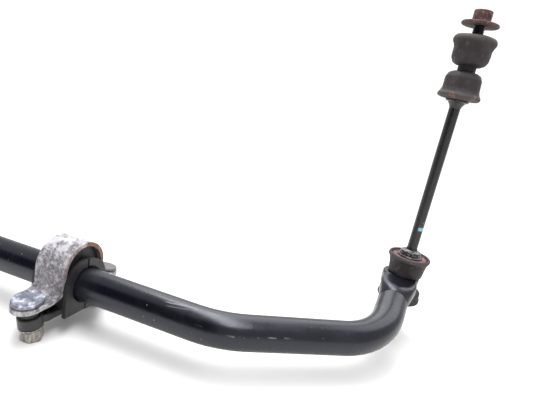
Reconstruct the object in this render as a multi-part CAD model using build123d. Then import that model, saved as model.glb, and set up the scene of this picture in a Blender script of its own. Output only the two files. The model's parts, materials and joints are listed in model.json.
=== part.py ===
from build123d import *
import math
import os

# Sway bar with its two frame clamps and two end links. Millimetres, +Z up.
# X runs along the bar, the arms reach back towards +Y, and the clamp nuts stand on Z = 0.
# The origin is the middle of the assembly's footprint on that surface.
# Every piece is built on the +X side and mirrored for the -X side.

# Bar
BAR_R = 17.0                # radius of the round bar
CLAMP_X = 275.0             # clamp centre from the middle of the bar
KNEE_X = 443.4              # corner of the gentle bend
KNEE_BEND_R = 86.0          # centreline radius of the gentle bend
ELBOW = (581.9, 93.0, -5.0)  # corner of the sharp bend, from the bar axis
ELBOW_BEND_R = 77.0         # centreline radius of the sharp bend
EYE = (590.0, 203.4, 25.3)  # centre of the eye's hole, from the bar axis
PADDLE_IN = 3.5             # the flat end's centre is this far inboard of the hole
LINK_LEAN = 1.62            # outboard lean of the eye and its link, degrees

# Flat eye at each end of the bar
EYE_R = 22.0                # radius of the round end
EYE_HALF = 8.5              # half the thickness
EYE_HOLE_R = 10.25          # hole for the bushing noses
EYE_EDGE = 3.0              # rounding of the forged edge
SWAGE_START = 50.0          # where the round bar starts to flatten, from the eye centre
SWAGE_END = 26.0            # where it has become flat
SWAGE_STEPS = 10            # lengths that the flattened stretch is divided into
SWAGE_PROUD = 0.15          # the swage starts this much proud of the round bar
NECK_HALF_W = 20.5          # half width and half height behind the spot-faced eye
NECK_HALF_H = 8.1
SECTION_POINTS = 24         # points around one section
SQUARENESS = 5.0            # superellipse power of the flat end

# Clamp: strap, base plate, bolts
BOLT_Y = 50.5               # bolt axis at the ear, from the bar axis
BOLT_TILT = 10.0            # ears slope down outwards, so the bolts lean in at the bottom, degrees
STRAP_W = 34.0              # width along the bar
STRAP_T = 4.0               # sheet thickness
ARCH_R = 27.5               # outer radius of the arch
ARCH_UP = 15.0              # arch centre above the bar axis
EAR_R = 15.0                # round end of each ear
EAR_TAPER_Y = 42.0          # where the ears start to taper, from the bar axis
EAR_TOP = -6.4              # top of the ear at the bolt, from the bar axis
STRAP_BEND_R = 8.0          # outside bend between leg and ear
BOLT_R = 6.0                # M12 shank
BOLT_HOLE_R = 6.5           # clearance hole in the ears and plate
HEAD_R = 14.2               # flat round bolt head
HEAD_T = 2.8                # thickness of the head's rim
HEAD_SEAT_R = 12.5          # smaller seat under the head
HEAD_UP = 4.5               # head top above the ear
HEAD_ROUND = 1.2            # rounding of the head's rim
HEAD_DISH_R = 10.5          # shallow dish in the head
HEAD_DISH = 0.5
PLATE_TOP = -20.5           # base plate top, from the bar axis
PLATE_T = 9.0
PLATE_HALF = 34.0           # flat middle, to the centre of its round ends
PLATE_END_R = 11.0
BOSS_T = 12.0               # thickness of the bosses at its ends
PLATE_ROUND = 1.5
PAD_T = 0.6                 # raised seat under the plate, between the nuts
PAD_HALF = 30.0             # half its length across the bar
PAD_HALF_W = 9.0            # half its width along the bar
SPACER_R = 8.5
SPACER_L = 9.3
NUT_FLANGE_R = 11.0
NUT_FLANGE_T = 3.0
NUT_SEAT_R = 11.8           # spot face for the nut's flange
CLAMP_NUT_AF = 18.0
CLAMP_NUT_H = 14.0          # with its flange
BOLT_END_GAP = 0.6          # bolt end above the nut's lower face
NUT_FIT = 0.05              # radial clearance of a thread drawn as a cylinder
NUT_CONE = 0.6              # height of a nut's corner chamfer, as a share of its depth
FLANGE_EDGE = 1.0           # straight rim of a nut's flange
FLANGE_LIP = 0.4            # bevel under that rim
TIP_CHAMFER = 1.0           # chamfer at a bolt's end

# Rubber D bushing in the clamp
BUSH_FIT = 0.05             # radial clearance on the bar
LIP_R = 27.0
LIP_T = 4.0
LIP_STEP = 0.8              # the lip's back half stands this much further out
LIP_DROP = -27.0            # flat bottom of the lip
LIP_MOUTH = 2.5             # chamfer at the mouth of the bar hole
CORE_R = 22.9
BODY_RECESS = 5.0           # body front set back from the strap's edge
SLIT_W = 0.8

# Link rod and stack, heights along the link from the eye centre
ROD_R = 6.0
STUD_R = 6.0                # M12 thread
THREAD_PITCH = 1.75
THREAD_DEPTH = 0.9
ROD_FIT = 0.1               # bushings and washers on the rod
RUBBER_GAP = 0.05           # eye bushings from the eye
NOSE_R = 10.0               # nose of each eye bushing
NOSE_GAP = 0.3              # half the gap between the two noses
DISH_FLOOR = 29.0           # floor of the upper bushing's dish
DISH_R = 20.3
WASHER_T = 2.0
EYE_WASHER_R = 20.0
LOWER_DISH = -22.5
LOWER_WASHER_T = 3.0
ROD_BOTTOM = -41.0
TOP_WASHER_LOW = 296.0
TOP_WASHER_T = 3.0
TOP_WASHER_R = 19.5
TOP_NUT_AF = 18.0
TOP_NUT_H = 12.4
TOP_NUT_TURN = 20.0         # hexagon's turn about the link, degrees
ROD_TOP = 310.8
LOWER_NUT_H = 12.0
UPPER_FLANGE = 218.6        # face that the upper retaining washer rests on
UPPER_WASHER_R = 18.8
GAP_LOW = 248.0             # bracket gap between the two upper bushings
GAP_HIGH = 254.4
UPPER_NOSE_R = 9.5
UPPER_NOSE_TOP = 258.0
BUSHING_TOP = 285.6
FACE_GAP = 0.05             # axial clearance between stacked pieces

# The footprint runs from the front bolt heads to the back of the eye bushings.
LOWER_RIM_R = 25.8
BAR_Y = (BOLT_Y + EAR_R - EYE[1] - LOWER_RIM_R) / 2

# The nuts' outer rims touch the surface, because the bolts lean.
NUT_CHAMFER = 0.98          # chamfer circle of a nut's face, as a share of half its width
STACK_END = STRAP_T + SPACER_L + BOSS_T + CLAMP_NUT_H
BAR_UP = (
    STACK_END * math.cos(math.radians(BOLT_TILT)) - EAR_TOP
    + CLAMP_NUT_AF / 2 * NUT_CHAMFER * math.sin(math.radians(BOLT_TILT))
)
AXIS = Vector(0, BAR_Y, BAR_UP)


def place_link(shape):
    """Moves a piece built about a vertical link to the right-hand eye, with the link's lean."""
    return Pos(*(AXIS + Vector(*EYE))) * Rot(0, LINK_LEAN, 0) * shape


def place_clamp(shape):
    """Moves a piece built about the bar axis to the right-hand clamp."""
    return Pos(CLAMP_X, BAR_Y, BAR_UP) * shape


def tilted(shape, side):
    """Moves a piece built about a vertical bolt, ear top at zero, to the front or back of a clamp."""
    return Pos(0, side * BOLT_Y, EAR_TOP) * Rot(-side * BOLT_TILT, 0, 0) * shape


def turned(points):
    """A solid turned about Z from (radius, height) points of a closed outline."""
    outline = Polyline(*[(r, 0, z) for r, z in points], close=True)
    return revolve(make_face(outline), Axis.Z)


def smooth_turned(inner, outer):
    """Turned solid whose outer side is one smooth curve through the outer points."""
    side = Spline(*[(r, 0, z) for r, z in outer])
    rest = Polyline(*[(r, 0, z) for r, z in [outer[-1]] + inner + [outer[0]]])
    return revolve(make_face(side + rest), Axis.Z)


def hex_nut(across_flats, low, high, bore_r, chamfers, turn=0):
    """Hexagon nut between two heights, its corners cut by cones at the ends named in chamfers."""
    height = high - low
    prism = Pos(0, 0, low) * extrude(RegularPolygon(across_flats / 2, 6, major_radius=False, rotation=turn), height)
    corner_r = across_flats / 2 / math.cos(math.pi / 6)
    cut = corner_r - across_flats / 2 * NUT_CHAMFER
    outline = [(bore_r, high), (bore_r, low)]
    if "low" in chamfers:
        outline += [(corner_r - cut, low), (corner_r, low + cut * NUT_CONE)]
    else:
        outline += [(corner_r, low)]
    if "top" in chamfers:
        outline += [(corner_r, high - cut * NUT_CONE), (corner_r - cut, high)]
    else:
        outline += [(corner_r, high)]
    envelope = turned(outline)
    return prism & envelope


def thread_points(radius, low, high):
    """Sawtooth outline of a thread between two heights, drawn as rings."""
    turns = round((high - low) / THREAD_PITCH)
    step = (high - low) / turns
    points = []
    for turn in range(turns):
        start = low + turn * step
        points.append((radius - THREAD_DEPTH, start))
        points.append((radius, start + step * 0.4))
        points.append((radius, start + step * 0.6))
    points.append((radius - THREAD_DEPTH, high))
    return points


# ---- bar ----

def swage_section(share, centre, x_dir, normal):
    """Superellipse section that turns from the round bar (share 0) to the flat eye (share 1)."""
    ease = share * share * (3 - 2 * share)
    start_r = BAR_R + SWAGE_PROUD
    half_w = start_r + (NECK_HALF_W - start_r) * ease
    half_h = start_r + (NECK_HALF_H - start_r) * ease
    power = 2 / (2 + (SQUARENESS - 2) * ease)
    plane = Plane(origin=centre, x_dir=x_dir, z_dir=normal)
    points = []
    for index in range(SECTION_POINTS):
        angle = 2 * math.pi * index / SECTION_POINTS
        c = math.cos(angle)
        s = math.sin(angle)
        u = half_w * math.copysign(abs(c) ** power, c)
        v = half_h * math.copysign(abs(s) ** power, s)
        points.append(plane.from_local_coords(Vector(u, v, 0)))
    return make_face(Spline(*points, periodic=True))


def bar_half():
    """Right half of the bar: swept tube path, flattened length and flat eye."""
    knee = AXIS + Vector(KNEE_X, 0, 0)
    elbow = AXIS + Vector(*ELBOW)
    lean = math.radians(LINK_LEAN)
    eye = AXIS + Vector(*EYE) - Vector(math.cos(lean), 0, -math.sin(lean)) * PADDLE_IN
    arm = (eye - elbow).normalized()
    up = Vector(math.sin(lean), 0, math.cos(lean))
    tube_end = eye - arm * (SWAGE_START - SWAGE_PROUD)
    path = FilletPolyline(AXIS, knee, elbow, tube_end, radius=[KNEE_BEND_R, ELBOW_BEND_R])
    print("bar centreline to the swage", round(path.length, 1))
    start = Plane(origin=AXIS, z_dir=(1, 0, 0))
    rod = sweep(start * Circle(BAR_R), path=path)
    flat_dir = Vector(0, 1, 0)
    sections = []
    for step in range(SWAGE_STEPS + 1):
        back = SWAGE_START * (1 - step / SWAGE_STEPS)
        share = min(1, (SWAGE_START - back) / (SWAGE_START - SWAGE_END))
        normal = (arm * (1 - share) + flat_dir * share).normalized()
        centre = eye - arm * back * (1 - share) - flat_dir * back * share
        sections.append(swage_section(share, centre, normal.cross(up).normalized(), normal))
    swage = loft(sections)
    end = extrude(Circle(EYE_R), EYE_HALF, both=True)
    end = fillet(end.edges(), EYE_EDGE)
    end = Pos(*eye) * Rot(0, LINK_LEAN, 0) * end
    hole = extrude(Circle(EYE_HOLE_R), EYE_HALF * 2, both=True)
    return (rod + swage + end) - place_link(hole)


def sway_bar():
    """The whole bar, its two halves joined at the middle."""
    half = bar_half()
    return half + mirror(half, about=Plane.YZ)


# ---- clamp ----

def strap_outline():
    """Band in YZ: sloping ears, legs and arch, with its bends, as a closed face."""
    slope = math.tan(math.radians(BOLT_TILT))
    tip = BOLT_Y + EAR_R
    inner_r = ARCH_R - STRAP_T
    drop = STRAP_T / math.cos(math.radians(BOLT_TILT))
    sides = []
    for radius, low, bend in ((ARCH_R, EAR_TOP, STRAP_BEND_R), (inner_r, EAR_TOP - drop, STRAP_BEND_R + STRAP_T)):
        corner = (0, radius, low + (BOLT_Y - radius) * slope)
        end = (0, tip, low - EAR_R * slope)
        right = FilletPolyline(end, corner, (0, radius, ARCH_UP), radius=bend)
        arch = ThreePointArc((0, radius, ARCH_UP), (0, 0, ARCH_UP + radius), (0, -radius, ARCH_UP))
        sides += [right, arch, mirror(right, about=Plane.XZ)]
    top_end = EAR_TOP - EAR_R * slope
    ends = [Line((0, side * tip, top_end - drop), (0, side * tip, top_end)) for side in (-1, 1)]
    return make_face(sides + ends)


def clamp_strap():
    """Galvanised strap: arch over the bushing and two round-ended ears with bolt holes."""
    band = extrude(strap_outline(), STRAP_W / 2, dir=(1, 0, 0), both=True)
    corners = Rectangle(STRAP_W, 2 * EAR_TAPER_Y).edges()
    for side in (-1, 1):
        corners += (Pos(0, side * BOLT_Y) * Circle(EAR_R)).edges()
    strap = band & extrude(make_hull(corners), ARCH_UP + ARCH_R + STRAP_T, both=True)
    for side in (-1, 1):
        strap = strap - tilted(Cylinder(BOLT_HOLE_R, 3 * STRAP_T), side)
    return strap


def clamp_base_plate():
    """Plate under the bushing: a flat middle and, at both bolts, a boss square to the leaning bolt."""
    plan = SlotCenterToCenter(2 * PLATE_HALF, 2 * PLATE_END_R, rotation=90)
    plate = Pos(0, 0, PLATE_TOP - PLATE_T + PAD_T) * extrude(plan, PLATE_T - PAD_T)
    rims = plate.faces().sort_by(Axis.Z)[0].edges() + plate.faces().sort_by(Axis.Z)[-1].edges()
    plate = fillet(rims, PLATE_ROUND)
    pad = Pos(0, 0, PLATE_TOP - PLATE_T + PAD_T) * Box(2 * PAD_HALF_W, 2 * PAD_HALF, 2 * PAD_T)
    plate = plate + pad
    boss_top = -STRAP_T - SPACER_L
    seat = boss_top - BOSS_T
    for side in (-1, 1):
        boss = Pos(0, 0, (boss_top + seat) / 2) * Cylinder(PLATE_END_R, BOSS_T)
        boss = fillet(boss.edges(), PLATE_ROUND)
        spot = Pos(0, 0, seat - BOSS_T / 2) * Cylinder(NUT_SEAT_R, BOSS_T)
        spacer_spot = Pos(0, 0, boss_top + BOSS_T / 2) * Cylinder(PLATE_END_R, BOSS_T)
        hole = Pos(0, 0, seat + BOSS_T / 2) * Cylinder(BOLT_HOLE_R, 2 * BOSS_T)
        plate = plate - tilted(spot, side) - tilted(spacer_spot, side)
        plate = plate + tilted(boss, side)
        plate = plate - tilted(hole, side)
    return plate


def d_profile(radius, low):
    """D outline in YZ: half round over the bar, straight sides and a flat bottom."""
    arch = ThreePointArc((0, -radius, 0), (0, 0, radius), (0, radius, 0))
    sides = Polyline((0, radius, 0), (0, radius, low), (0, -radius, low), (0, -radius, 0))
    return make_face(arch + sides)


def clamp_bushing():
    """Rubber bushing: body that fills the strap, a lip each side, the bar hole and one slit."""
    half_w = STRAP_W / 2
    inner_r = ARCH_R - STRAP_T
    body_half = half_w - BODY_RECESS
    tall = ThreePointArc((0, -inner_r, ARCH_UP), (0, 0, ARCH_UP + inner_r), (0, inner_r, ARCH_UP))
    legs = Polyline((0, inner_r, ARCH_UP), (0, inner_r, PLATE_TOP), (0, -inner_r, PLATE_TOP),
                    (0, -inner_r, ARCH_UP))
    body = extrude(make_face(tall + legs), body_half, dir=(1, 0, 0), both=True)
    core = extrude(d_profile(CORE_R, PLATE_TOP), half_w, dir=(1, 0, 0), both=True)
    bushing = body + core
    for side in (-1, 1):
        middle = side * (half_w + LIP_T / 2)
        lip = Pos(middle, 0, 0) * extrude(d_profile(LIP_R, LIP_DROP), LIP_T / 2, dir=(1, 0, 0), both=True)
        bushing = bushing + lip
    step = Pos(half_w + LIP_T, 0, 0) * extrude(d_profile(LIP_R, LIP_DROP), LIP_STEP, dir=(1, 0, 0))
    bushing = bushing + (step & Pos(half_w + LIP_T, LIP_R, 0) * Box(2 * LIP_T, 2 * LIP_R, 4 * LIP_R))
    length = half_w + LIP_T + LIP_STEP
    hole_r = BAR_R + BUSH_FIT
    mouth_r = hole_r + LIP_MOUTH
    hole = extrude(Plane.YZ * Circle(hole_r), length, both=True)
    mouths = None
    for side in (-1, 1):
        plane = Plane(origin=(side * length, 0, 0), z_dir=(-side, 0, 0))
        mouth = loft([plane * Circle(mouth_r), plane.offset(LIP_MOUTH) * Circle(hole_r)])
        mouths = mouth if mouths is None else mouths + mouth
    slit = Pos(0, 0, LIP_R) * Box(2 * length, SLIT_W, 2 * LIP_R)
    return bushing - hole - mouths - slit


def clamp_bolt():
    """Bolt with a large flat head, slightly dished, on a smaller seat. The ear's top is at zero."""
    top = HEAD_UP
    end = BOLT_END_GAP - STACK_END
    rim_low = top - HEAD_T
    return turned([
        (0, end), (BOLT_R - TIP_CHAMFER, end), (BOLT_R, end + TIP_CHAMFER), (BOLT_R, 0), (HEAD_SEAT_R, 0),
        (HEAD_SEAT_R, rim_low), (HEAD_R, rim_low), (HEAD_R, top - HEAD_ROUND),
        (HEAD_R - HEAD_ROUND / 3, top - HEAD_ROUND / 3), (HEAD_R - HEAD_ROUND, top),
        (HEAD_DISH_R, top - HEAD_DISH / 2), (HEAD_DISH_R / 2, top - HEAD_DISH), (0, top - HEAD_DISH),
    ])


def clamp_spacer():
    """Short black tube between an ear and the base plate."""
    bore = BOLT_R + ROD_FIT
    high = -STRAP_T
    return turned([(bore, high - SPACER_L), (SPACER_R, high - SPACER_L), (SPACER_R, high), (bore, high)])


def clamp_nut():
    """Flange nut that the whole assembly stands on."""
    seat = -STRAP_T - SPACER_L - BOSS_T
    flange_low = seat - NUT_FLANGE_T
    bore = BOLT_R + NUT_FIT
    hex_r = CLAMP_NUT_AF / 2
    flange = turned([
        (bore, flange_low), (hex_r, flange_low), (NUT_FLANGE_R - FLANGE_LIP, seat - FLANGE_EDGE - FLANGE_LIP),
        (NUT_FLANGE_R, seat - FLANGE_EDGE), (NUT_FLANGE_R, seat), (bore, seat),
    ])
    return hex_nut(CLAMP_NUT_AF, seat - CLAMP_NUT_H, flange_low, bore, ("low",)) + flange


def pair(shape):
    """The same piece at both bolts of one clamp, as two separate solids."""
    return Compound(children=[tilted(shape, side) for side in (-1, 1)])


# ---- link ----

def link_rod():
    """Rod with a double collar above the eye, a flange under the top bushings and threaded ends."""
    thread_low = thread_points(STUD_R, ROD_BOTTOM + 0.6, LOWER_DISH - LOWER_WASHER_T + 0.4)
    thread_high = thread_points(STUD_R, BUSHING_TOP - 4.3, ROD_TOP - 0.6)
    seat = DISH_FLOOR + WASHER_T + FACE_GAP
    collar = [
        (ROD_R, seat), (14.5, seat), (14.6, seat + 1.2), (13.6, seat + 2.4), (11.8, seat + 2.8),
        (12.9, seat + 3.6), (12.7, seat + 4.8), (11.0, seat + 5.3), (12.0, seat + 6.0),
        (11.6, seat + 7.2), (8.6, seat + 7.8), (7.0, seat + 9.0), (ROD_R, seat + 12.0),
    ]
    flange = [
        (ROD_R, UPPER_FLANGE - 9.5), (6.8, UPPER_FLANGE - 7.0), (9.4, UPPER_FLANGE - 3.2),
        (12.0, UPPER_FLANGE - 2.4), (12.4, UPPER_FLANGE - 1.6), (12.4, UPPER_FLANGE - 0.5),
        (12.0, UPPER_FLANGE), (ROD_R, UPPER_FLANGE),
    ]
    points = [(0, ROD_BOTTOM), (STUD_R - THREAD_DEPTH - 0.3, ROD_BOTTOM)] + thread_low
    points += [(ROD_R, LOWER_DISH - LOWER_WASHER_T + 1.2)] + collar + flange
    points += [(ROD_R, BUSHING_TOP - 5.0)] + thread_high
    points += [(STUD_R - THREAD_DEPTH - 0.3, ROD_TOP), (0, ROD_TOP)]
    return turned(points)


def eye_upper_bushing():
    """Rubber bushing on the eye: nose in the hole, waisted side, wide rim around a dish."""
    bore = ROD_R + ROD_FIT
    low = EYE_HALF + RUBBER_GAP
    outer = [(19.0, low), (20.3, low + 4.5), (20.9, low + 11.0), (22.4, low + 17.5), (24.3, low + 21.0),
             (24.5, low + 23.0), (23.4, low + 24.6)]
    inner = [(21.2, DISH_FLOOR + 3.6), (DISH_R, DISH_FLOOR), (bore, DISH_FLOOR), (bore, NOSE_GAP),
             (NOSE_R, NOSE_GAP), (NOSE_R, low)]
    return smooth_turned(inner, outer)


def eye_upper_washer():
    """Retaining washer in the dish, under the rod's collar."""
    high = DISH_FLOOR + WASHER_T
    return turned([
        (ROD_R + ROD_FIT, DISH_FLOOR), (EYE_WASHER_R, DISH_FLOOR), (EYE_WASHER_R, high - 0.5),
        (EYE_WASHER_R - 0.5, high), (ROD_R + ROD_FIT, high),
    ])


def eye_lower_bushing():
    """Rubber bushing under the eye, bulged where it is squeezed, with a wide lower rim."""
    bore = ROD_R + ROD_FIT
    high = -EYE_HALF - RUBBER_GAP
    outer = [(20.6, high), (23.8, high - 1.8), (24.4, high - 4.2), (23.8, high - 7.0), (24.9, high - 9.4),
             (LOWER_RIM_R, high - 11.6), (25.0, high - 14.4), (22.8, high - 16.2)]
    inner = [(21.2, LOWER_DISH - 2.2), (DISH_R, LOWER_DISH), (bore, LOWER_DISH), (bore, -NOSE_GAP),
             (NOSE_R, -NOSE_GAP), (NOSE_R, high)]
    return smooth_turned(inner, outer)


def eye_lower_washer():
    """Retaining washer under the lower bushing."""
    low = LOWER_DISH - LOWER_WASHER_T
    return turned([
        (ROD_R + ROD_FIT, LOWER_DISH), (EYE_WASHER_R, LOWER_DISH), (EYE_WASHER_R, low + 0.6),
        (EYE_WASHER_R - 0.6, low), (ROD_R + ROD_FIT, low),
    ])


def eye_lower_nut():
    """Nut at the lower end of the link rod."""
    high = LOWER_DISH - LOWER_WASHER_T
    return hex_nut(TOP_NUT_AF, high - LOWER_NUT_H, high, STUD_R + NUT_FIT, ("low",))


def top_lower_washer():
    """Retaining washer between the rod's flange and the lower of the two top bushings."""
    high = UPPER_FLANGE + WASHER_T
    return turned([
        (ROD_R + ROD_FIT, UPPER_FLANGE), (UPPER_WASHER_R - 0.5, UPPER_FLANGE),
        (UPPER_WASHER_R, UPPER_FLANGE + 0.5), (UPPER_WASHER_R, high), (ROD_R + ROD_FIT, high),
    ])


def top_lower_bushing():
    """Lower top bushing: rim at the washer, rounded shoulder, and a nose through the bracket gap."""
    bore = ROD_R + ROD_FIT
    floor = UPPER_FLANGE + WASHER_T
    outer = [(20.6, floor - 1.4), (22.5, floor + 0.6), (22.7, floor + 2.6), (20.6, floor + 5.6),
             (19.5, floor + 9.0), (19.3, floor + 16.0), (18.9, floor + 21.0), (16.6, floor + 25.2),
             (12.6, GAP_LOW)]
    inner = [(UPPER_NOSE_R, GAP_LOW), (UPPER_NOSE_R, UPPER_NOSE_TOP), (bore, UPPER_NOSE_TOP), (bore, floor),
             (UPPER_WASHER_R + 0.2, floor), (UPPER_WASHER_R + 0.8, floor - 1.4)]
    return smooth_turned(inner, outer)


def top_upper_bushing():
    """Upper top bushing: rounded shoulder at the bracket gap and a rim near the top washer."""
    bore = ROD_R + ROD_FIT
    pocket_r = UPPER_NOSE_R + 0.2
    pocket_top = UPPER_NOSE_TOP + 0.2
    outer = [(12.2, GAP_HIGH), (16.8, GAP_HIGH + 2.6), (19.0, GAP_HIGH + 6.8), (19.6, GAP_HIGH + 12.0),
             (19.6, GAP_HIGH + 18.0), (21.0, GAP_HIGH + 21.6), (22.6, GAP_HIGH + 24.0),
             (22.4, GAP_HIGH + 27.0), (19.8, BUSHING_TOP - 1.0), (16.0, BUSHING_TOP)]
    inner = [(bore, BUSHING_TOP), (bore, pocket_top), (pocket_r, pocket_top), (pocket_r, GAP_HIGH)]
    return smooth_turned(inner, outer)


def top_washer():
    """Flat washer that has been backed off along the stud with its nut."""
    high = TOP_WASHER_LOW + TOP_WASHER_T
    bore = STUD_R + NUT_FIT
    return turned([
        (bore, TOP_WASHER_LOW), (TOP_WASHER_R - 0.8, TOP_WASHER_LOW), (TOP_WASHER_R, TOP_WASHER_LOW + 0.8),
        (TOP_WASHER_R, high - 0.8), (TOP_WASHER_R - 0.8, high), (bore, high),
    ])


def top_nut():
    """Nut on the upper stud, just above the washer."""
    low = TOP_WASHER_LOW + TOP_WASHER_T + FACE_GAP
    return hex_nut(TOP_NUT_AF, low, low + TOP_NUT_H, STUD_R + NUT_FIT, ("top", "low"), TOP_NUT_TURN)


CLAMP_PIECES = {
    "clamp_strap": clamp_strap(),
    "clamp_base_plate": clamp_base_plate(),
    "clamp_bushing": clamp_bushing(),
    "clamp_bolts": pair(clamp_bolt()),
    "clamp_spacers": pair(clamp_spacer()),
    "clamp_nuts": pair(clamp_nut()),
}
LINK_PIECES = {
    "link_rod": link_rod(),
    "eye_upper_bushing": eye_upper_bushing(),
    "eye_upper_washer": eye_upper_washer(),
    "eye_lower_bushing": eye_lower_bushing(),
    "eye_lower_washer": eye_lower_washer(),
    "eye_lower_nut": eye_lower_nut(),
    "top_lower_washer": top_lower_washer(),
    "top_lower_bushing": top_lower_bushing(),
    "top_upper_bushing": top_upper_bushing(),
    "top_washer": top_washer(),
    "top_nut": top_nut(),
}

os.makedirs("parts", exist_ok=True)
export_step(sway_bar(), "parts/sway_bar.step")
for pieces, place in ((CLAMP_PIECES, place_clamp), (LINK_PIECES, place_link)):
    for name, piece in pieces.items():
        right = place(piece)
        left = mirror(right, about=Plane.YZ)
        export_step(right, "parts/" + name + "_right.step")
        export_step(left, "parts/" + name + "_left.step")
print("nodes", 1 + 2 * (len(CLAMP_PIECES) + len(LINK_PIECES)))
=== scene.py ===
# %% [markdown]
# # A used sway bar, dressed for a studio picture
# A sway bar is a round spring-steel bar that ties the left and right wheels of a vehicle together. Two
# rubber-lined clamps hold it to the chassis, and an upright link at each end ties it to the suspension.
# The engineering model already gives every rigid piece its shape. This lesson loads it as a fixed frame,
# gives each piece a worn, procedural finish, and swaps the soft rubber bushings for livelier meshes.

# %% Load the frame
import json
import math
import bpy
import numpy as np
from mathutils import Matrix, Vector


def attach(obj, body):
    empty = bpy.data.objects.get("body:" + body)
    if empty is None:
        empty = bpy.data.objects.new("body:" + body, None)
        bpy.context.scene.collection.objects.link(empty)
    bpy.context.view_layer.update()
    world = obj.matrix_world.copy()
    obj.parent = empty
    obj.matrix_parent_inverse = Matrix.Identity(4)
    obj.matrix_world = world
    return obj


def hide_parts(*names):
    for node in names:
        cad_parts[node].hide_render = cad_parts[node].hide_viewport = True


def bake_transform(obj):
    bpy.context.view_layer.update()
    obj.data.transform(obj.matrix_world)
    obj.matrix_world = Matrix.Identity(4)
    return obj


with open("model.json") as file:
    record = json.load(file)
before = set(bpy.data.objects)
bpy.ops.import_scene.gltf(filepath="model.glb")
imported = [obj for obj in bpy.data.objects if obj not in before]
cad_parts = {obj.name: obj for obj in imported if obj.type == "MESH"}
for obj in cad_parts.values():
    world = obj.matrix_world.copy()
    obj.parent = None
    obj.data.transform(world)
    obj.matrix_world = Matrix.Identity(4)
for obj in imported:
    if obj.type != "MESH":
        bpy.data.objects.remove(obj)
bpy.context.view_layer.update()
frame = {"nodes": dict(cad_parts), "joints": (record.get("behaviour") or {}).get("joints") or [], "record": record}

MM = 0.001
SIDES = {"left": -1, "right": 1}
nodes = frame["nodes"]
print("nodes in the frame:", len(nodes))

# %% [markdown]
# ## Where things are
# The bar's axis runs through the middle of the clamp bushings, and the links stand on the eyes at its
# ends. The joints of the record say exactly where both are, so every later cell can speak in distances
# from the bar's axis or along a link.

# %% Reference points from the joints
joints = {joint["name"]: joint for joint in frame["joints"]}
bar_axis = Vector(joints["clamp_right_turn"]["pos_m"])
eye = Vector(joints["link_right_swing"]["pos_m"])
link_up = Vector(joints["washer_right_slide"]["axis"]).normalized()
CLAMP_X = bar_axis.x
BAR_Y = bar_axis.y
BAR_Z = bar_axis.z
print("bar axis at y", round(BAR_Y, 4), "z", round(BAR_Z, 4), "eye at", tuple(round(v, 3) for v in eye))

# %% [markdown]
# ## The camera
# A close, slightly rolled view from the front: the camera stands just inboard of the link, about a third
# of a metre in front of the bar and a fifth of a metre above it. The angles turn it in the order a person
# would: pan, tilt down, then roll. Building the matrix from three unit vectors shows where each camera
# axis points, which is easier to check than a list of Euler angles.

# %% Camera
CAMERA_AHEAD = 346.5 * MM       # in front of the bar's axis
CAMERA_ABOVE = 216.9 * MM       # above the bar's axis
CAMERA_FROM_EYE = -15.0 * MM    # along the bar, from the eye
CAMERA_PAN = math.radians(-16.40)
CAMERA_TILT = math.radians(14.05)
CAMERA_ROLL = math.radians(-10.69)
LENS_MM = 29.68
SENSOR_MM = 36

ahead = Vector((math.sin(CAMERA_PAN), math.cos(CAMERA_PAN), 0))
across = Vector((math.cos(CAMERA_PAN), -math.sin(CAMERA_PAN), 0))
upright = Vector((0, 0, 1))
look = ahead * math.cos(CAMERA_TILT) - upright * math.sin(CAMERA_TILT)
lifted = ahead * math.sin(CAMERA_TILT) + upright * math.cos(CAMERA_TILT)
right_hand = across * math.cos(CAMERA_ROLL) - lifted * math.sin(CAMERA_ROLL)
top_of_frame = across * math.sin(CAMERA_ROLL) + lifted * math.cos(CAMERA_ROLL)

lens = bpy.data.cameras.new("camera")
lens.sensor_width = SENSOR_MM
lens.lens = LENS_MM
lens.clip_start = 10 * MM
camera = bpy.data.objects.new("camera", lens)
turn = Matrix((right_hand, top_of_frame, -look)).transposed().to_4x4()
place = Vector((eye.x + CAMERA_FROM_EYE, BAR_Y - CAMERA_AHEAD, BAR_Z + CAMERA_ABOVE))
camera.matrix_world = Matrix.Translation(place) @ turn
bpy.context.scene.collection.objects.link(camera)
bpy.context.scene.camera = camera
print("camera at", tuple(round(v, 3) for v in place))

# %% [markdown]
# ## Shader maths as plain Python
# Node graphs get hard to read when every sum is a box and two wires. The class below wraps one output
# socket and teaches it `+`, `-` and `*`, so `1 - mask` builds its Math node by itself. Colours and
# vectors never go through Math nodes, because those only carry one number.

# %% Sockets that can be added and multiplied
class Field:
    """One number at every point of a surface: a socket with arithmetic."""

    def __init__(self, graph, socket):
        self.graph = graph
        self.socket = socket

    def maths(self, operation, first, second=None, clamp=False):
        settings = {"operation": operation, "use_clamp": clamp}
        values = {0: first} if second is None else {0: first, 1: second}
        return self.graph.node("ShaderNodeMath", settings, values)

    def __add__(self, other):
        return self.maths("ADD", self, other)

    __radd__ = __add__

    def __sub__(self, other):
        return self.maths("SUBTRACT", self, other)

    def __rsub__(self, other):
        return self.maths("SUBTRACT", other, self)

    def __mul__(self, other):
        return self.maths("MULTIPLY", self, other)

    __rmul__ = __mul__

    def __abs__(self):
        return self.maths("ABSOLUTE", self)

    def clipped(self):
        """The field held between 0 and 1."""
        return self.maths("ADD", self, 0.0, clamp=True)

    def over(self, low, high):
        """Smooth step: 0 below low, 1 above high. With low above high it steps down instead."""
        settings = {"interpolation_type": "SMOOTHSTEP"}
        return self.graph.node("ShaderNodeMapRange", settings, {0: self, 1: low, 2: high, 3: 0.0, 4: 1.0})

    def band(self, start, full, fading, end):
        """1 between full and fading, and down to 0 at start and at end; all four in millimetres."""
        return self.over(start * MM, full * MM) * self.over(end * MM, fading * MM)


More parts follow.
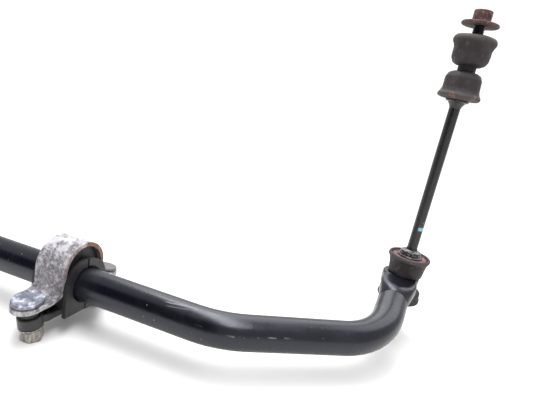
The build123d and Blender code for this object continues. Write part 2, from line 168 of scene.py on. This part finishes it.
class Graph:
    """A node tree under construction."""

    def __init__(self, tree):
        self.tree = tree

    def node(self, kind, settings=None, values=None, output=0):
        """Adds a node: its settings first, then the values or links of its sockets."""
        made = self.tree.nodes.new(kind)
        for key, value in (settings or {}).items():
            if key == "stops":
                ramp = made.color_ramp.elements
                while len(ramp) < len(value):
                    ramp.new(0.5)
                for element, (position, colour) in zip(ramp, value):
                    element.position = position
                    element.color = (*colour, 1)
            else:
                setattr(made, key, value)
        for key, value in (values or {}).items():
            if isinstance(value, Field):
                self.tree.links.new(value.socket, made.inputs[key])
            else:
                made.inputs[key].default_value = value
        return Field(self, made.outputs[output])


class Finish(Graph):
    """A material under construction, with short names for the nodes that most finishes need."""

    def __init__(self, name, roughness=0.5, metallic=0.0, specular=0.5):
        self.material = bpy.data.materials.new(name)
        self.material.use_nodes = True
        super().__init__(self.material.node_tree)
        self.shader = self.tree.nodes["Principled BSDF"]
        self.shader.inputs["Roughness"].default_value = roughness
        self.shader.inputs["Metallic"].default_value = metallic
        self.shader.inputs["Specular IOR Level"].default_value = specular
        self.place = self.node("ShaderNodeTexCoord", output="Object")

    def moved(self, stretch, turn=(0, 0, 0), source=None):
        """Object coordinates, or another source, turned and stretched by a Mapping node."""
        values = {"Vector": source or self.place, "Rotation": turn, "Scale": stretch}
        return self.node("ShaderNodeMapping", {"vector_type": "POINT"}, values)

    def noise(self, scale, detail=3.0, roughness=0.55, source=None):
        """Cloudy noise between 0 and 1; scale counts features per metre."""
        values = {"Vector": source or self.place, "Scale": scale}
        values |= {"Detail": detail, "Roughness": roughness}
        return self.node("ShaderNodeTexNoise", None, values)

    def cells(self, scale):
        """Distance to the nearest of many scattered points; scale counts points per metre."""
        return self.node("ShaderNodeTexVoronoi", None, {"Vector": self.place, "Scale": scale})

    def axes(self):
        """The x, y and z of a point on the surface, in metres."""
        split = self.node("ShaderNodeSeparateXYZ", None, {0: self.place})
        outputs = split.socket.node.outputs
        return [Field(self, outputs[index]) for index in range(3)]

    def mix(self, mask, first, second):
        """Colour first where the mask is 0, second where it is 1."""
        values = {0: mask}
        for key, colour in ((6, first), (7, second)):
            values[key] = colour if isinstance(colour, Field) else (*colour, 1)
        return self.node("ShaderNodeMix", {"data_type": "RGBA"}, values, output=2)

    def ramp(self, field, stops):
        """Colours picked along a ramp by a field."""
        return self.node("ShaderNodeValToRGB", {"stops": stops}, {0: field})

    def feed(self, socket, field):
        self.tree.links.new(field.socket, self.shader.inputs[socket])

    def bump(self, height, depth):
        """Raises the surface by height times depth metres, for shading only."""
        self.feed("Normal", self.node("ShaderNodeBump", None, {"Height": height, "Distance": depth}))


print("shader helpers ready")

# %% [markdown]
# ## Black paint on the bar
# The bar is sprayed satin black. What makes it look used is a very thin layer of dust that greys the
# paint in clouds, fine scuffs that run along the bar, a few deeper scratches, and small chips. All of
# them read Object coordinates. The straight middle and the slanted legs run in different directions, so
# the scuffs are stretched along a direction that is picked by the point's distance along X.

# %% Bar paint
LEG_TURN = math.radians(33.9)
KNEE_X = 443.4 * MM


def mirrored_place(finish):
    """Object coordinates with x made positive, so a mark comes at both ends: the point, x, y and z."""
    x, y, z = finish.axes()
    outward = abs(x)
    return finish.node("ShaderNodeCombineXYZ", None, {0: outward, 1: y, 2: z}), outward, y, z


def line_mark(finish, start, along, length, width, wobble, on_top):
    """A thin scratch from a point, along a direction in plan given in degrees. It lies on top of the bar,
    or on its front at the start's height. It fades in over the first fifth of its length and out over the
    last third, and the wobble field makes it stray to the side by about its own width."""
    _, x, y, z = mirrored_place(finish)
    angle = math.radians(along)
    dx, dy = x - start[0], y - start[1]
    run = dx * math.cos(angle) + dy * math.sin(angle)
    if on_top:
        side = dy * math.cos(angle) - dx * math.sin(angle)
        facing = z.over(BAR_Z + 8 * MM, BAR_Z + 11 * MM)
    else:
        side = z - start[2]
        facing = y.over(start[1] + length, start[1] + length * 0.9)
    strayed = abs(side + (wobble - 0.5) * width * 2.5)
    ends = run.over(0, length * 0.2) * run.over(length, length * 0.7)
    return ends * strayed.over(width, width * 0.3) * facing


def bar_paint():
    """Satin black with dust clouds, lengthwise scuffs, chips and a few long scratches."""
    f = Finish("bar_satin_black", roughness=0.3, specular=0.5)
    f.shader.inputs["Specular Tint"].default_value = (0.86, 0.88, 1.0, 1)
    both, x, _, _ = mirrored_place(f)
    dust = f.noise(22, 4, 0.6).over(0.42, 0.75)
    lengthwise = (9, 420, 420)
    straight = f.noise(1, 3, 0.6, source=f.moved(lengthwise, source=both))
    slanted = f.noise(1, 3, 0.6, source=f.moved(lengthwise, turn=(0, 0, -LEG_TURN), source=both))
    on_leg = x.over(KNEE_X - 20 * MM, KNEE_X + 30 * MM)
    fine = straight * (1 - on_leg) + slanted * on_leg
    patch = f.noise(35, 2, 0.5).over(0.5, 0.62)
    scuffs = fine.over(0.63, 0.72) * patch
    chips = f.cells(190).over(0.13, 0.07) * f.noise(30, 3, 0.6).over(0.60, 0.66)
    wobble = f.noise(60, 2, 0.5)
    long_start = (KNEE_X - 57 * MM, BAR_Y - 7.7 * MM)
    short_start = (KNEE_X - 53.5 * MM, BAR_Y - 10.6 * MM)
    front_start = (KNEE_X, BAR_Y, BAR_Z + 4 * MM)
    upper = line_mark(f, long_start, 6.7, 37.6 * MM, 0.9 * MM, wobble, on_top=True)
    lower = line_mark(f, short_start, 5.9, 29.2 * MM, 0.6 * MM, wobble, on_top=True)
    front = line_mark(f, front_start, 34, 70 * MM, 1.0 * MM, wobble, on_top=False)
    marks = upper * 0.7 + lower * 0.4 + front * f.noise(170, 3, 0.7).over(0.52, 0.6) * 0.7
    bare = (scuffs * 0.25 + chips + marks).clipped()
    base = f.ramp(dust, [(0.0, (0.0025, 0.0027, 0.0055)), (1.0, (0.008, 0.008, 0.012))])
    f.feed("Base Color", f.mix(bare * 0.7, base, (0.26, 0.26, 0.27)))
    f.feed("Roughness", (0.22 + dust * 0.12 + f.noise(240, 2) * 0.08 + bare * 0.15).clipped())
    f.bump(f.noise(520, 3) * 0.25 + f.noise(60, 2) * 0.5 - bare * 0.6, 0.00010)
    return f.material


# %% [markdown]
# ## Galvanised strap
# The strap was dipped in zinc and has weathered: cloudy grey with white bloom, tiny pale rings where
# drops dried, and orange-brown rust where the cut edge of the arch lost its zinc. Several sizes of noise
# are layered, from thumb-wide clouds down to grain, because one size alone always looks computed.

# %% Galvanised steel
ZINC_STOPS = [(0.0, (0.075, 0.07, 0.078)), (0.45, (0.185, 0.175, 0.19)), (1.0, (0.43, 0.415, 0.445))]
HEAD_STOPS = [(0.1, (0.085, 0.09, 0.12)), (0.5, (0.21, 0.22, 0.28)), (0.95, (0.60, 0.61, 0.70))]
STRAP_HALF = 17 * MM


def galvanised():
    """Clouds of grey and white bloom, dried rings and rust along the outboard edge of the arch."""
    f = Finish("galvanised_weathered", roughness=0.55, metallic=0.35)
    x, y, z = f.axes()
    cloud = f.noise(60, 5, 0.68)
    grain = f.noise(330, 4, 0.75)
    tone = (cloud * 0.42 + grain * 0.58).over(0.34, 0.66)
    spot = f.cells(230)
    rings = abs(spot - 0.26).over(0.09, 0.03) * f.noise(120, 1).over(0.52, 0.6)
    base = f.ramp(tone, ZINC_STOPS)
    base = f.mix((rings * 0.6).clipped(), base, (0.62, 0.61, 0.65))
    edge_x = abs(x) - CLAMP_X
    high = z.over(BAR_Z - 2 * MM, BAR_Z + 30 * MM)
    top = z.over(BAR_Z + 22 * MM, BAR_Z + 42 * MM)
    foot = z.over(BAR_Z - 1 * MM, BAR_Z - 6 * MM)
    bloom = (f.noise(110, 5, 0.7) + top * 0.16 + foot * 0.12).over(0.56, 0.70)
    base = f.mix(bloom * 0.55, base, (0.66, 0.65, 0.70))
    rim = edge_x.over(STRAP_HALF - 1.8 * MM, STRAP_HALF + 0.1 * MM)
    back = y.over(BAR_Y - 12 * MM, BAR_Y + 12 * MM)
    patches = f.noise(160, 4, 0.7).over(0.36, 0.6)
    rust = (rim * (0.35 + 0.65 * back) * high * 1.5 * patches).clipped()
    rust_tone = f.ramp(f.noise(300, 3), [(0.3, (0.10, 0.040, 0.026)), (0.7, (0.32, 0.165, 0.115))])
    f.feed("Base Color", f.mix(rust, base, rust_tone))
    f.feed("Roughness", (0.5 + tone * 0.2 + rust * 0.25).clipped())
    f.feed("Metallic", (0.42 - tone * 0.3 - rust * 0.4).clipped())
    f.bump(cloud * 0.9 + grain * 0.5 + rings * 0.25 + rust * f.noise(700, 2) * 0.6, 0.0005)
    return f.material


def zinc_head():
    """Flat bolt head with bluish-white zinc bloom, and painted shade low on the head and over the bolt behind the
    bar.
    """
    f = Finish("zinc_bloom", roughness=0.5, metallic=0.3)
    cloud = f.noise(140, 5, 0.65).over(0.35, 0.68)
    grain = f.noise(700, 3, 0.7)
    base = f.ramp(cloud * 0.75 + grain * 0.25, HEAD_STOPS)
    _, y, z = f.axes()
    # Painted shade: the head is darker from 4 to 9 mm below the bar's axis, and on the bolt behind the bar.
    painted_shade_low_and_back = z.over(BAR_Z - 4 * MM, BAR_Z - 9 * MM) * 0.6 + y.over(BAR_Y, BAR_Y + 10 * MM) * 0.9
    f.feed("Base Color", f.mix(painted_shade_low_and_back.clipped(), base, (0.13, 0.125, 0.12)))
    f.feed("Roughness", 0.42 + cloud * 0.25)
    f.bump(cloud + grain * 0.6, 0.0003)
    return f.material


def nut_steel():
    """Dull plated steel with dark streaks down the flats."""
    f = Finish("nut_plated", roughness=0.4, metallic=0.75)
    streaks = f.noise(1, 4, 0.6, source=f.moved((420, 420, 70))).over(0.42, 0.7)
    grime = f.noise(190, 4, 0.65).over(0.5, 0.75)
    base = f.ramp(streaks, [(0.0, (0.24, 0.225, 0.20)), (1.0, (0.60, 0.58, 0.55))])
    f.feed("Base Color", f.mix(grime * 0.55, base, (0.10, 0.085, 0.07)))
    f.feed("Roughness", 0.3 + streaks * 0.15 + grime * 0.25)
    f.feed("Metallic", 0.85 - grime * 0.5)
    f.bump(streaks * 0.4 + grime, 0.00015)
    return f.material


# %% [markdown]
# ## Dark plate, spacer and clamp rubber
# These three are all nearly black, so roughness has to tell them apart: the plate is painted steel and
# still catches light on its edge, the spacer is dull, and the rubber is matt with a chalky bloom.

# %% Dark finishes
def worn_black(name, tone, dusty, roughness, grain_scale, depth):
    """A dark base colour with dust clouds and fine grain."""
    f = Finish(name, roughness=roughness)
    dust = f.noise(70, 4, 0.6).over(0.4, 0.75)
    grain = f.noise(grain_scale, 3, 0.65)
    f.feed("Base Color", f.mix(dust * 0.8 + grain * 0.2, tone, dusty))
    f.feed("Roughness", (roughness + dust * 0.15 - grain * 0.08).clipped())
    f.bump(dust * 0.5 + grain, depth)
    return f.material


# %% [markdown]
# ## Old rubber on the link
# The link bushings have gone grey and brown with age. The dish-shaped lips are a lighter warm grey, scuffs
# have polished pale patches, and a little rust from the washers has run onto the rubber. The patches
# follow the link's own height, measured along its lean from the centre of the eye.

# %% Link rubber
def link_height(finish):
    """Distance along a link from the centre of its eye, the same for both sides."""
    _, x, _, z = mirrored_place(finish)
    return (x - eye.x) * link_up.x + (z - eye.z) * link_up.z


RUBBER_STOPS = [(0.30, (0.013, 0.009, 0.010)), (0.5, (0.025, 0.019, 0.020)), (0.7, (0.043, 0.036, 0.037))]


def link_rubber():
    """Grey-brown aged rubber: clouds, pale scuffs, lighter lips, rust stains and painted shade at the neck."""
    f = Finish("link_rubber_aged", roughness=0.62, specular=0.35)
    height = link_height(f)
    cloud = f.noise(55, 4, 0.6)
    grain = f.noise(620, 3, 0.7)
    base = f.ramp(cloud, RUBBER_STOPS)
    lip_low = height.band(216.5, 220.5, 223.5, 227.5)
    lip_top = height.over(277 * MM, 281 * MM)
    lip_eye = height.band(27, 30, 40, 50)
    lips = (lip_low * 0.8 + lip_top * 0.55 + lip_eye * 0.75).clipped()
    base = f.mix(lips, base, (0.058, 0.052, 0.050))
    # Painted shade: the neck between the two top bushings, where the bracket sits, is made almost black.
    neck_painted_shade = height.band(244.5, 247.5, 254.5, 257.5)
    base = f.mix(neck_painted_shade * 0.8, base, (0.008, 0.007, 0.007))
    scuff = f.noise(1, 4, 0.6, source=f.moved((130, 130, 60))).over(0.58, 0.68)
    base = f.mix(scuff * 0.3, base, (0.15, 0.14, 0.14))
    rusted = (lip_low + height.band(18, 24, 28, 34)).clipped()
    rust = f.noise(80, 3, 0.6).over(0.6, 0.68) * rusted
    base = f.mix(rust * 0.7, base, (0.20, 0.085, 0.040))
    f.feed("Base Color", base)
    f.feed("Roughness", (0.52 + cloud * 0.2 + grain * 0.1 - scuff * 0.1).clipped())
    f.bump(cloud * 1.2 + grain * 0.45 + scuff * 0.5, 0.0004)
    return f.material


# %% [markdown]
# ## Rust
# Rust is never one colour. A dark, slightly purple layer sits under brown, with orange powder in the
# pores. The same recipe with a different ramp gives the brown nut and washer and the pinkish retaining
# washer.

# %% Rusty steel
def rusty(name, stops, powder):
    """Layered rust: a ramp over clouds, with powder in the pores and a rough bump."""
    f = Finish(name, roughness=0.7, metallic=0.15)
    cloud = f.noise(150, 5, 0.65)
    pores = f.cells(900).over(0.35, 0.15)
    base = f.ramp(cloud, stops)
    mask = (f.noise(330, 4, 0.7).over(0.52, 0.66) * 0.8 + pores * 0.25).clipped()
    f.feed("Base Color", f.mix(mask, base, powder))
    f.feed("Roughness", (0.58 + cloud * 0.25).clipped())
    f.bump(cloud * 1.3 - pores * 0.4 + f.noise(800, 2) * 0.5, 0.0003)
    return f.material


def link_paint():
    """Satin black rod with a small paint dab, pale flecks, dust, and a pale band above the eye that is partly wear
    and partly painted highlight.
    """
    f = Finish("link_satin_black", roughness=0.38)
    height = link_height(f)
    _, x, y, _ = mirrored_place(f)
    dust = f.noise(60, 4, 0.6).over(0.45, 0.75)
    base = f.ramp(dust, [(0.0, (0.006, 0.006, 0.008)), (1.0, (0.016, 0.016, 0.017))])
    patch = f.noise(420, 3, 0.6)
    outboard = (x - eye.x - height * link_up.x).over(-0.5 * MM, 1.2 * MM)
    front = y.over(eye.y - 0.5 * MM, eye.y - 2.5 * MM) * outboard
    dab = height.band(65.0, 65.8, 69.0, 70.0) * front * (patch + 0.2).over(0.55, 0.62)
    flecks = height.band(58, 60, 75, 78) * front * f.noise(900, 2).over(0.66, 0.70)
    # A pale grey band on the collar above the eye: partly worn paint, partly a painted highlight.
    wear_and_painted_highlight = height.band(32.2, 33.5, 39.0, 40.5) * f.noise(380, 3).over(0.45, 0.62)
    base = f.mix(wear_and_painted_highlight * 0.55, base, (0.34, 0.33, 0.32))
    base = f.mix(flecks, base, (0.55, 0.56, 0.56))
    base = f.mix(dab, base, (0.16, 0.46, 0.52))
    f.feed("Base Color", base)
    f.feed("Roughness", (0.33 + dust * 0.15 + dab * 0.2).clipped())
    f.bump(f.noise(500, 3) * 0.5 + dab * 0.6 + wear_and_painted_highlight * 0.3, 0.00015)
    return f.material


# %% [markdown]
# ## Handing out the finishes
# Each engineering node keeps its mesh and only changes the material in its slot. The dictionary maps the
# record's slot names to the finishes above, so a renamed node still finds its paint.

# %% Assign finishes
BROWN_STOPS = [(0.30, (0.024, 0.011, 0.011)), (0.5, (0.062, 0.030, 0.028)), (0.7, (0.125, 0.068, 0.058))]
RED_STOPS = [(0.30, (0.060, 0.022, 0.026)), (0.5, (0.14, 0.058, 0.066)), (0.7, (0.24, 0.12, 0.13))]
PLATE_TONES = (0.007, 0.007, 0.008), (0.024, 0.023, 0.023)
SPACER_TONES = (0.004, 0.004, 0.004), (0.012, 0.012, 0.012)
CLAMP_TONES = (0.006, 0.006, 0.007), (0.015, 0.015, 0.017)
finishes = {
    "bar_paint": bar_paint(),
    "link_paint": link_paint(),
    "plate_paint": worn_black("plate_worn_black", *PLATE_TONES, 0.45, 500, 0.30 * MM),
    "spacer_black": worn_black("spacer_matt_black", *SPACER_TONES, 0.55, 900, 0.10 * MM),
    "clamp_rubber": worn_black("clamp_rubber_black", *CLAMP_TONES, 0.55, 800, 0.12 * MM),
    "galvanised": galvanised(),
    "zinc_bolt": zinc_head(),
    "nut_steel": nut_steel(),
    "link_rubber": link_rubber(),
    "rust_brown": rusty("rust_dark_brown", BROWN_STOPS, (0.20, 0.11, 0.09)),
    "rust_red": rusty("rust_pink_red", RED_STOPS, (0.32, 0.19, 0.19)),
}
slot_of = {part["node"]: part["material_slot"] for part in frame["record"]["subparts"]}
for name, node in nodes.items():
    node.data.materials.clear()
    node.data.materials.append(finishes[slot_of[name]])
print("finishes:", len(finishes))

# %% [markdown]
# ## Rubber bushings as turned surfaces
# A bushing is a closed loop carried round the link's axis. The loop's corners are cut twice (Chaikin's
# rule: each corner is replaced by two points a quarter of the way along its sides), which rounds a mould
# edge softly, and the radius then swells and dents a little with angle, because old rubber is never
# round. The loop closes on itself and so does the turn, so the mesh has no open edge and no pole.

# %% Turned rubber
TURN_STEPS = 120
SIDE_STEP = 2.0         # mm between points along an outline's side
BORE_CALM = 8.0         # mm from the bore to where the swelling is complete
WAVES = [(2, 1.0, 0.0), (3, 0.7, 0.11), (5, 0.45, -0.23), (9, 0.3, 0.4), (17, 0.18, 0.9)]


def rounded_loop(points, times):
    """Chaikin corner cutting on a closed loop: each side keeps its points at one and three quarters."""
    loop = np.array(points, float)
    for _ in range(times):
        nxt = np.roll(loop, -1, axis=0)
        loop = np.stack([loop * 0.75 + nxt * 0.25, loop * 0.25 + nxt * 0.75], axis=1).reshape(-1, 2)
    return loop


def filled_loop(points, step):
    """Adds evenly spaced points on every side longer than step, so that dents have something to bend."""
    loop = np.array(points, float)
    nxt = np.roll(loop, -1, axis=0)
    pieces = []
    for here, there in zip(loop, nxt):
        count = max(1, int(np.linalg.norm(there - here) / step))
        share = np.arange(count)[:, None] / count
        pieces.append(here + (there - here) * share)
    return np.concatenate(pieces)


def mesh_object(name, verts, faces, material):
    """A mesh object at the origin from whole arrays, smooth shaded, faces turned outwards."""
    mesh = bpy.data.meshes.new(name)
    a, b, c, d = (verts[faces[:, corner]] for corner in range(4))
    volume = (a * np.cross(b, c)).sum() + (a * np.cross(c, d)).sum()
    if volume < 0:
        faces = faces[:, ::-1]
    mesh.from_pydata(verts.tolist(), [], faces.tolist())
    mesh.polygons.foreach_set("use_smooth", np.ones(len(mesh.polygons), bool))
    mesh.materials.append(material)
    mesh.update()
    made = bpy.data.objects.new(name, mesh)
    bpy.context.scene.collection.objects.link(made)
    return made


def wrap_grid(rows, columns):
    """Quads of a grid that closes on itself both ways."""
    row, column = np.meshgrid(np.arange(rows), np.arange(columns), indexing="ij")
    down, across = (row + 1) % rows, (column + 1) % columns
    corners = [row * columns + column, down * columns + column,
               down * columns + across, row * columns + across]
    return np.stack(corners, axis=-1).reshape(-1, 4)


def turned_rubber(name, points, side, seed, swell, bore):
    """Closed loop (radius, height in mm along the link) turned about the link's axis. The radius grows by
    swell times a sum of waves, each with a count round the turn, a size and a drift with height, and the
    growth fades to nothing at the bore. One more wave, four to a turn, lifts the outer parts."""
    loop = rounded_loop(filled_loop(points, SIDE_STEP), 2)
    angle = np.linspace(0, 2 * np.pi, TURN_STEPS, endpoint=False)
    random = np.random.default_rng(seed)
    phase = random.uniform(0, 2 * np.pi, len(WAVES) + 1)
    radius, height = loop[:, 0][:, None], loop[:, 1][:, None]
    turn_by = angle[None, :]
    waves = sum(size * np.sin(count * turn_by + shift + drift * height)
                for (count, size, drift), shift in zip(WAVES, phase))
    fade = np.clip((radius - bore) / BORE_CALM, 0, 1)
    radius = radius + swell * waves * fade * 0.45
    lift = swell * 0.35 * np.sin(4 * turn_by + phase[-1]) * fade ** 2
    local = np.stack([radius * np.cos(turn_by), radius * np.sin(turn_by),
                      np.broadcast_to(height + lift, radius.shape)], axis=-1)
    verts = link_points(local.reshape(-1, 3), side)
    return mesh_object(name, verts, wrap_grid(*radius.shape), finishes["link_rubber"])


def link_points(local, side):
    """Points in mm about an upright link, moved to the leaning link on one side, in metres."""
    up = np.array(link_up)
    right = np.array([up[2], 0, -up[0]])
    placed = local[:, :1] * right + local[:, 1:2] * np.array([0, 1.0, 0]) + local[:, 2:] * up
    placed = placed * MM + np.array(eye)
    placed[:, 0] *= side
    return placed


print("turned rubber ready")

# %% [markdown]
# ## The four bushings of each link
# From the eye up: a cup-shaped bushing with a wide lip, and at the top a mirrored pair that grips the
# bracket, the lower one with a nose through the gap. The one under the eye is squeezed and bulges. The
# two at the top ride with the link, and the two at the eye stay where they are made.

# %% Bushing outlines
# Radii, and heights along the link from the centre of the eye, in mm
BORE = 6.15
SLEEVE_R = 9.95         # the part of an eye bushing that sits in the eye's hole
SLEEVE_END = 0.5
EYE_FACE = 8.6
CUP_FLOOR = 29.0
LOWER_FLOOR = -22.5
FLANGE_SEAT = 220.7
NOSE_R = 9.45           # the nose through the bracket, and the bracket's two faces
NOSE_END = 258.0
BRACKET_UNDER = 248.0
BRACKET_OVER = 254.5
SOCKET_R = 9.8          # the socket that takes the nose
SOCKET_FLOOR = 258.3
TOP_FACE = 285.5

upper_eye = [(BORE, CUP_FLOOR), (BORE, SLEEVE_END), (SLEEVE_R, SLEEVE_END), (SLEEVE_R, EYE_FACE),
             (19.2, EYE_FACE), (20.2, 13), (20.9, 19.5), (22.4, 26), (24.6, 29.4), (24.6, 31.6),
             (23.6, 33.1), (22.4, 32.9), (21.3, 30.4), (20.4, CUP_FLOOR)]
lower_eye = [(BORE, -SLEEVE_END), (BORE, LOWER_FLOOR), (20.4, LOWER_FLOOR), (21.3, -24.4), (22.9, -24.7),
             (25.0, -22.9), (25.6, -20.1), (24.9, -17.9), (23.8, -15.5), (24.3, -12.7), (23.7, -10.3),
             (20.8, -EYE_FACE), (SLEEVE_R, -EYE_FACE), (SLEEVE_R, -SLEEVE_END)]
lower_top = [(BORE, NOSE_END), (BORE, FLANGE_SEAT), (19.1, FLANGE_SEAT), (19.7, 219.3), (21.0, 219.2),
             (22.6, 220.8), (22.8, 223.2), (20.8, 226.0), (19.5, 229.6), (19.2, 237), (19.0, 241.4),
             (16.8, 245.8), (12.9, BRACKET_UNDER), (NOSE_R, BRACKET_UNDER), (NOSE_R, NOSE_END)]
upper_top = [(BORE, SOCKET_FLOOR), (SOCKET_R, SOCKET_FLOOR), (SOCKET_R, BRACKET_OVER),
             (12.4, BRACKET_OVER), (16.9, 257.0), (19.2, 261.4), (19.6, 266), (19.6, 272.2), (20.9, 276.0),
             (22.6, 278.4), (22.4, 281.8), (20.6, 284.5), (16.5, TOP_FACE), (BORE, TOP_FACE)]

# For each bushing: its outline, how far it swells in mm, and two heights along the link, given only for the two at
# the eye and not used to bend them
bushings = {
    "eye_upper_bushing": (upper_eye, 0.30, EYE_FACE, CUP_FLOOR),
    "eye_lower_bushing": (lower_eye, 0.30, -EYE_FACE, LOWER_FLOOR),
    "top_lower_bushing": (lower_top, 0.40, None, None),
    "top_upper_bushing": (upper_top, 0.45, None, None),
}
for side, sign in SIDES.items():
    for number, (kind, (outline, swell, start, end)) in enumerate(bushings.items()):
        seed = 11 * number + (sign + 1)
        piece = turned_rubber("soft_" + kind + "_" + side, outline, sign, seed, swell, BORE)
        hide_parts(kind + "_" + side)
        if start is None:
            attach(piece, "link_" + side)
        else:
            spots = link_points(np.array([[0, 0, start], [0, 0, end]]), sign)
            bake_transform(piece)
print("bushings:", 2 * len(bushings))

# %% [markdown]
# ## Floor and light
# The bar lies on a large white table, which glows a little far away, so that it melts into the white
# beyond it. A wide, soft lamp overhead puts one long highlight along the top of the black bar and a
# shadow right below it. A second lamp, behind, only adds reflections, mostly along the arm. Black paint
# is only ever seen by what it reflects, so a black card out of sight keeps the front of the bar dark.
# The white surroundings are dimmer as a light than as a background, or they would wash out the shadow.

# %% Studio
FLOOR_HALF = 6.0
FLOOR_GLOW = 0.36       # how much light the far floor gives off
ROOM_LIGHT = 0.78       # strength of the surroundings as a light
ROOM_SEEN_MORE = 0.4    # added where the camera looks straight at them

floor_mesh = bpy.data.meshes.new("floor")
corners = [(FLOOR_HALF * x, FLOOR_HALF * y, 0) for x, y in ((-1, -1), (1, -1), (1, 1), (-1, 1))]
floor_mesh.from_pydata(corners, [], [(0, 1, 2, 3)])
floor = bpy.data.objects.new("floor", floor_mesh)
bpy.context.scene.collection.objects.link(floor)
table = Finish("table_white", roughness=0.9, specular=0.1)
speck = table.noise(3, 2)
table.feed("Base Color", table.mix(speck, (0.86, 0.856, 0.852), (0.88, 0.877, 0.874)))
table_x, table_y, _ = table.axes()
far = (table_x * table_x + table_y * table_y).over(0.6, 3.0)
table.shader.inputs["Emission Strength"].default_value = 1.0
table.feed("Emission Color", table.mix(far, (0, 0, 0), (FLOOR_GLOW, FLOOR_GLOW, FLOOR_GLOW)))
floor_mesh.materials.append(table.material)

world = bpy.data.worlds.new("studio")
bpy.context.scene.world = world
world.use_nodes = True
room = Graph(world.node_tree)
seen = room.node("ShaderNodeLightPath", output="Is Camera Ray")
strength = seen * ROOM_SEEN_MORE + ROOM_LIGHT
background = room.tree.nodes["Background"]
background.inputs["Color"].default_value = (1.0, 1.0, 1.0, 1)
room.tree.links.new(strength.socket, background.inputs["Strength"])


def soft_lamp(name, offset, target, size, watts):
    """A rectangular area lamp at an offset from a target point, which it faces."""
    lamp = bpy.data.lights.new(name, "AREA")
    lamp.shape = "RECTANGLE"
    lamp.size, lamp.size_y = size
    lamp.energy = watts
    holder = bpy.data.objects.new(name, lamp)
    spot = Vector(target) + Vector(offset)
    facing = (-Vector(offset)).to_track_quat("-Z", "Y").to_matrix().to_4x4()
    holder.matrix_world = Matrix.Translation(spot) @ facing
    bpy.context.scene.collection.objects.link(holder)
    return holder


def dark_card(name, foot, width, height):
    """An upright black card above the middle of its foot, seen in reflections only."""
    half = width / 2
    rows = [(-half, 0, 0), (half, 0, 0), (half, 0, height), (-half, 0, height)]
    mesh = bpy.data.meshes.new(name)
    mesh.from_pydata([tuple(Vector(foot) + Vector(corner)) for corner in rows], [], [(0, 1, 2, 3)])
    card = bpy.data.objects.new(name, mesh)
    cloth = Finish(name, roughness=1.0, specular=0.0)
    cloth.feed("Base Color", cloth.mix(cloth.noise(3, 2), (0.015, 0.015, 0.018), (0.02, 0.02, 0.024)))
    mesh.materials.append(cloth.material)
    card.visible_camera = False
    card.visible_diffuse = False
    card.visible_shadow = False
    bpy.context.scene.collection.objects.link(card)


middle = (CLAMP_X, BAR_Y, BAR_Z)
soft_lamp("overhead", offset=(0.1, 0.08, 1.4), target=middle, size=(2.2, 0.50), watts=36)
behind = soft_lamp("behind", offset=(0.3, 1.2, 1.25), target=middle, size=(3.0, 1.3), watts=30)
behind.visible_diffuse = False
dark_card("card_front", foot=(eye.x - 1.0, BAR_Y - 0.75, 0.02), width=2.0, height=1.3)
bpy.context.scene.view_settings.view_transform = "Standard"
print("studio ready")
